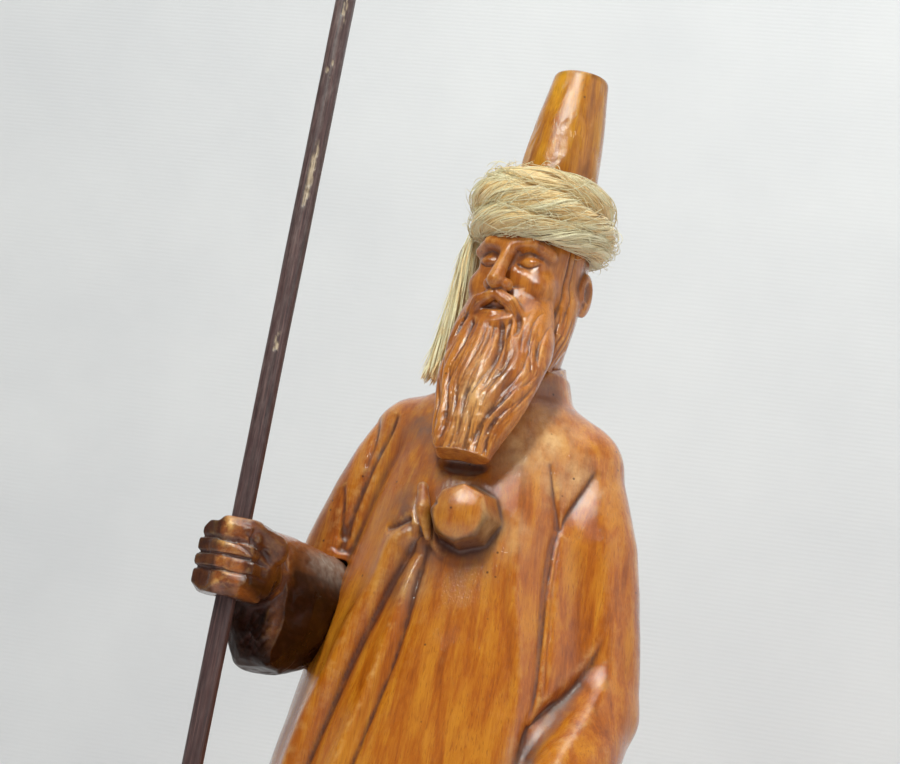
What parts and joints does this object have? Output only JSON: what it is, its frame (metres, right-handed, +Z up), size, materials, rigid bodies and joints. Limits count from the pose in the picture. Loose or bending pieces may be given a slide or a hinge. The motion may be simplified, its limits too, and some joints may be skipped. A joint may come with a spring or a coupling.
{
  "type": "carved wooden elder figure with staff",
  "caption": "Varnished carved wooden elder in a long robe with a jute turban round a tall cap, holding a lift-out staff, on an oval plinth.",
  "frame": {"origin": "where the figure's upright axis meets the plinth's underside", "axes": "+Z up, the figure faces -Y, its right hand with the staff is at -X"},
  "size_m": [0.14, 0.12, 0.386],
  "materials": {
    "varnished_wood": "glossy amber varnish over a dark rubbed-in stain",
    "plinth_wood": "satin varnish",
    "staff_wood": "dark stain, scuffed",
    "dowel_wood": "bare",
    "jute": "loose natural fibre",
    "screw_steel": "zinc plated"
  },
  "bodies": {
    "figure": {"plinth": "plinth_wood", "base_screws": "screw_steel", "carved_body": "varnished_wood", "right_forearm": "varnished_wood", "head": "varnished_wood", "cap": "varnished_wood", "neck_dowel": "dowel_wood", "forearm_dowel": "dowel_wood", "turban_wrap": "jute", "turban_tail": "jute"},
    "staff": {"staff": "staff_wood"}
  },
  "joints": [
    {"name": "staff_slide", "type": "slide", "parent": "figure", "child": "staff", "axis": [0, 0, 1], "range_m": [0, 0.21]}
  ]
}
